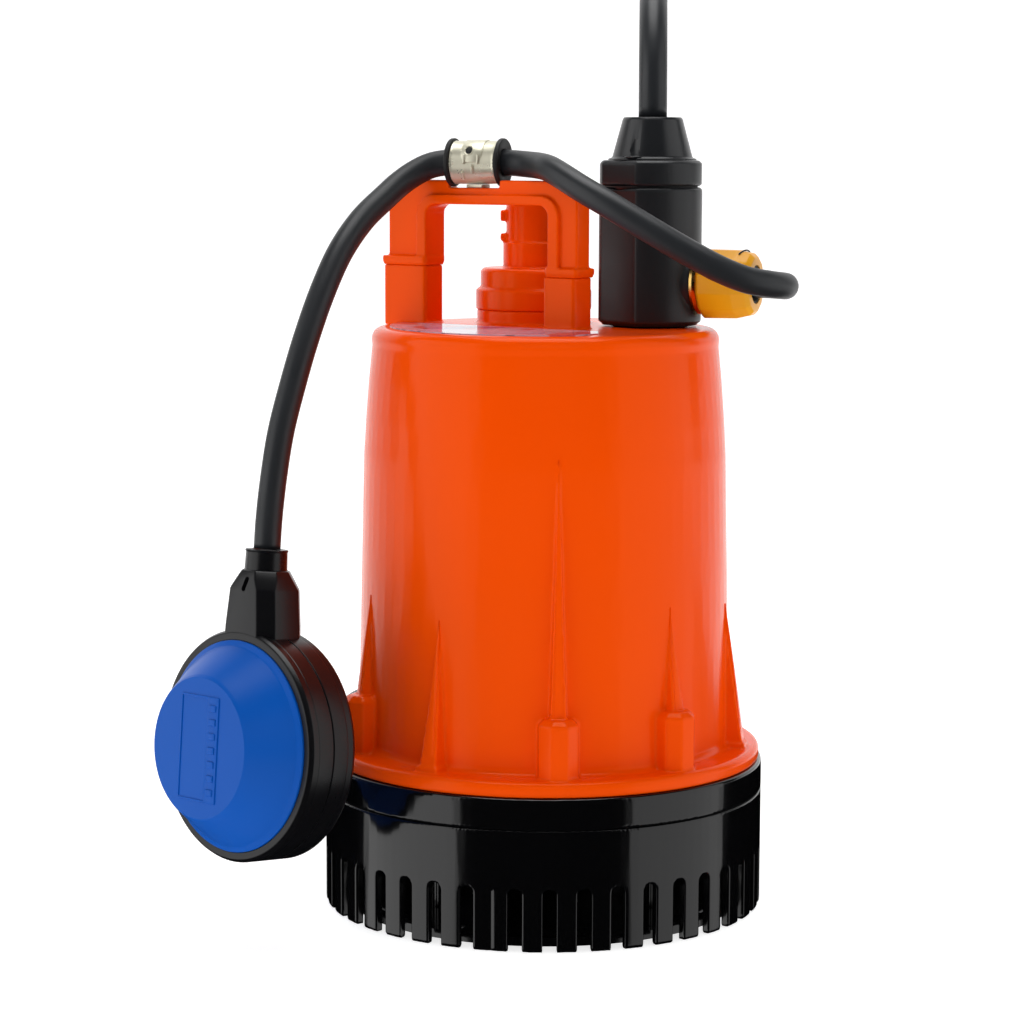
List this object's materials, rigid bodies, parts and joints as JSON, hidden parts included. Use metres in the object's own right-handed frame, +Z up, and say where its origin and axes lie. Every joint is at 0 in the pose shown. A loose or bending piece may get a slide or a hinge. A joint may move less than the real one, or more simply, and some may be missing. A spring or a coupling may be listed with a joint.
{
  "type": "submersible drainage pump",
  "caption": "Portable submersible drainage pump with carrying handle, hose outlet, strainer base and external float switch.",
  "frame": {"origin": "centre of the underside of the strainer base, on the motor shaft's axis", "axes": "+Z up along the motor shaft, -Y towards the front of the picture, +X to the right"},
  "size_m": [0.2191, 0.3211, 0.331],
  "materials": {
    "casing_orange": "satin moulded",
    "base_black": "gloss moulded",
    "housing_black": "fine satin",
    "seal_rubber": "matt",
    "cord_rubber": "satin sheath",
    "boot_rubber": "satin",
    "label_film": "printed film",
    "stainless": "brushed",
    "screw_steel": "turned",
    "cast_housing": "die cast",
    "core_steel": "laminated",
    "winding_copper": "enamelled wire",
    "pump_plastic": "glass filled",
    "ceramic_seal": "lapped",
    "bearing_steel": "ground",
    "nut_brass": "turned",
    "nut_yellow": "satin moulded",
    "ring_gold": "plated",
    "clip_nickel": "nickel plated",
    "float_black": "satin moulded",
    "float_blue": "satin moulded",
    "switch_red": "moulded",
    "switch_clear": "moulded",
    "cap_white": "moulded",
    "tie_black": "hook and loop strap",
    "pin_brass": "nickel plated"
  },
  "bodies": {
    "root": {"outer_casing": "casing_orange", "handle": "casing_orange", "hose_outlet": "casing_orange", "outlet_o_ring": "seal_rubber", "deck_label": "label_film", "upper_ring": "base_black", "strainer_base": "base_black", "bottom_plate": "base_black", "suction_plate": "stainless", "base_screws": "screw_steel", "base_o_ring": "seal_rubber", "volute": "pump_plastic", "oil_chamber": "cast_housing", "shaft_seal_seat": "ceramic_seal", "motor_can": "stainless", "lower_end_shield": "cast_housing", "upper_end_shield": "cast_housing", "stator_core": "core_steel", "stator_winding": "winding_copper", "thermal_protector": "cap_white", "bearing_outer_races": "bearing_steel", "cable_housing": "housing_black", "cable_cap": "housing_black", "cap_o_ring": "seal_rubber", "cable_boot": "boot_rubber", "run_capacitor": "cap_white", "gland_ring": "ring_gold", "gland_nut": "nut_yellow", "gland_grommet": "seal_rubber", "clip_sleeve": "boot_rubber", "clip_band": "clip_nickel", "clip_screw": "screw_steel", "float_cord_upper": "cord_rubber", "power_cord": "cord_rubber", "power_cord_coil": "cord_rubber", "coil_tie": "tie_black", "plug_body": "boot_rubber", "plug_pins": "pin_brass"},
    "rotor": {"shaft": "screw_steel", "rotor_core": "core_steel", "rotor_end_rings": "cast_housing", "impeller": "pump_plastic", "impeller_nut": "nut_brass", "bearing_inner_races": "bearing_steel", "shaft_seal_ring": "screw_steel"},
    "bearing_balls": {"bearing_balls": "bearing_steel"},
    "float": {"float_case_front": "float_black", "float_case_back": "float_black", "float_cap_front": "float_blue", "float_cap_back": "float_blue", "float_ferrule": "boot_rubber", "float_switch": "switch_red", "float_ball_tube": "switch_clear", "float_cord_lower": "cord_rubber"},
    "float_ball": {"float_ball": "bearing_steel"}
  },
  "joints": [
    {"name": "rotor_spin", "type": "hinge", "parent": "root", "child": "rotor", "pos_m": [0, 0, 0.12], "axis": [0, 0, 1], "continuous": true},
    {"name": "ball_orbit", "type": "hinge", "parent": "root", "child": "bearing_balls", "pos_m": [0, 0, 0.12], "axis": [0, 0, 1], "continuous": true},
    {"name": "float_swing", "type": "hinge", "parent": "root", "child": "float", "pos_m": [-0.0336, 0.0135, 0.263], "axis": [-0.7249, 0.6889, 0], "range_deg": [0, 110], "deforming": ["float_cord_lower"]},
    {"name": "float_ball_slide", "type": "slide", "parent": "float", "child": "float_ball", "axis": [0.0505, 0.085, 0.9951], "range_m": [0, 0.0175]}
  ],
  "couplings": [
    {"joint": "ball_orbit", "follows": "rotor_spin", "ratio": 0.366}
  ]
}
